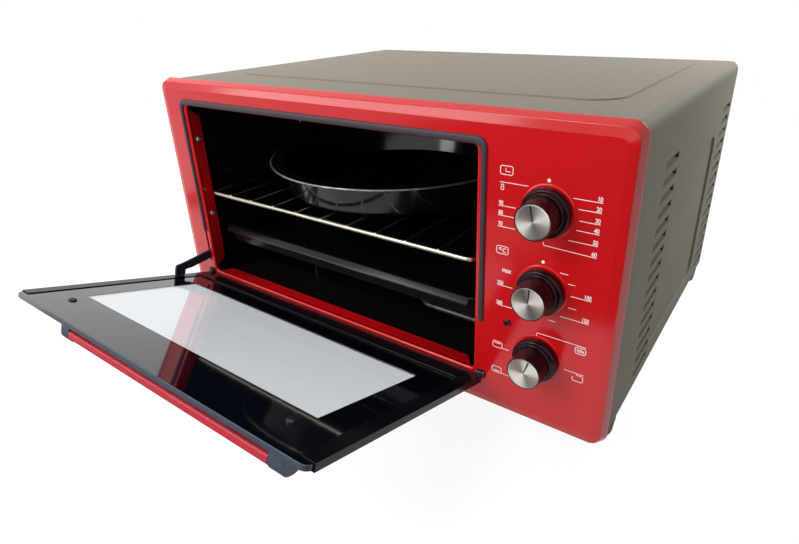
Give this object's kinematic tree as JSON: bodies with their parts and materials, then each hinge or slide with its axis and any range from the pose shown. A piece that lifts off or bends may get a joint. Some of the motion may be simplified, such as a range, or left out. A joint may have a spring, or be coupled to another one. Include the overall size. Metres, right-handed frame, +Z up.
{
  "type": "countertop electric oven",
  "caption": "Countertop electric oven with a drop-down glass door, rotary controls on the right, a wire rack, a baking tray and a round pan.",
  "frame": {"origin": "middle of the box round the oven with its door open, on the surface that the feet stand on", "axes": "+X to the right as the user faces the oven, +Y from the door to the back, +Z up"},
  "size_m": [0.53, 0.6092, 0.2753],
  "materials": {
    "red_enamel": "gloss",
    "grey_paint": "fine textured matt",
    "black_enamel": "satin enamel",
    "seal_rubber": "matt",
    "foot_rubber": "matt",
    "chrome_wire": "polished",
    "zinc_steel": "zinc plated",
    "heater_steel": "heat tinted",
    "black_plastic": "satin",
    "brown_plastic": "matt",
    "knob_plastic": "gloss",
    "spun_aluminium": "spun",
    "red_lens": "gloss",
    "door_glass": "clear with a black printed border",
    "slate_plastic": "satin",
    "dark_steel": "satin"
  },
  "bodies": {
    "oven": {"front_fascia": "red_enamel", "door_seal": "seal_rubber", "outer_casing": "grey_paint", "back_panel": "zinc_steel", "base_plate": "zinc_steel", "foot_front_left": "foot_rubber", "foot_back_left": "foot_rubber", "foot_front_right": "foot_rubber", "foot_back_right": "foot_rubber", "liner_left": "black_enamel", "liner_right": "black_enamel", "liner_floor": "black_enamel", "liner_ceiling": "black_enamel", "liner_back": "black_enamel", "lip_screw_lower_left": "zinc_steel", "lip_screw_upper_left": "zinc_steel", "lip_screw_lower_right": "zinc_steel", "lip_screw_upper_right": "zinc_steel", "lower_heater": "heater_steel", "upper_heater": "heater_steel", "lower_heater_clip": "zinc_steel", "upper_heater_clip": "zinc_steel", "heat_shield": "zinc_steel", "timer_body": "brown_plastic", "timer_bell": "zinc_steel", "thermostat_body": "brown_plastic", "selector_switch": "brown_plastic", "thermostat_bulb": "chrome_wire", "indicator_lens": "red_lens", "indicator_lamp": "black_plastic", "terminal_block": "brown_plastic", "lead_gland": "foot_rubber", "case_screw_lower_left": "zinc_steel", "case_screw_lower_right": "zinc_steel", "case_screw_upper_left": "zinc_steel", "case_screw_upper_right": "zinc_steel", "hinge_bracket_left": "dark_steel", "hinge_bracket_right": "dark_steel"},
    "door": {"door_glass": "door_glass", "door_trim_left": "black_plastic", "door_trim_right": "black_plastic", "door_bottom_rail": "black_plastic", "handle_bar": "red_enamel", "handle_bracket_left": "slate_plastic", "handle_screw_left": "zinc_steel", "handle_bracket_right": "slate_plastic", "handle_screw_right": "zinc_steel", "door_stay_arm": "dark_steel"},
    "timer": {"timer_knob": "knob_plastic", "timer_knob_cap": "spun_aluminium", "timer_shaft": "zinc_steel"},
    "thermostat": {"thermostat_knob": "knob_plastic", "thermostat_knob_cap": "spun_aluminium", "thermostat_shaft": "zinc_steel"},
    "selector": {"selector_knob": "knob_plastic", "selector_knob_cap": "spun_aluminium", "selector_shaft": "zinc_steel"},
    "rack": {"wire_rack": "chrome_wire"},
    "tray": {"baking_tray": "black_enamel"},
    "pan": {"round_pan": "black_enamel"}
  },
  "joints": [
    {"name": "door_hinge", "type": "hinge", "parent": "oven", "child": "door", "pos_m": [-0.0375, -0.09927, 0.0449], "axis": [1, 0, 0], "range_deg": [-72, 0]},
    {"name": "timer_turn", "type": "hinge", "parent": "oven", "child": "timer", "pos_m": [0.2045, -0.09887, 0.2063], "axis": [0, 1, 0], "range_deg": [-45, 290]},
    {"name": "thermostat_turn", "type": "hinge", "parent": "oven", "child": "thermostat", "pos_m": [0.2045, -0.09887, 0.1423], "axis": [0, 1, 0], "range_deg": [0, 315]},
    {"name": "selector_turn", "type": "hinge", "parent": "oven", "child": "selector", "pos_m": [0.2045, -0.09887, 0.0803], "axis": [0, 1, 0], "range_deg": [0, 285]},
    {"name": "rack_slide", "type": "slide", "parent": "oven", "child": "rack", "axis": [0, -1, 0], "range_m": [0, 0.2]},
    {"name": "tray_slide", "type": "slide", "parent": "oven", "child": "tray", "axis": [0, -1, 0], "range_m": [0, 0.11]},
    {"name": "pan_lift", "type": "slide", "parent": "rack", "child": "pan", "axis": [0, 0, 1], "range_m": [0, 0.035]}
  ]
}
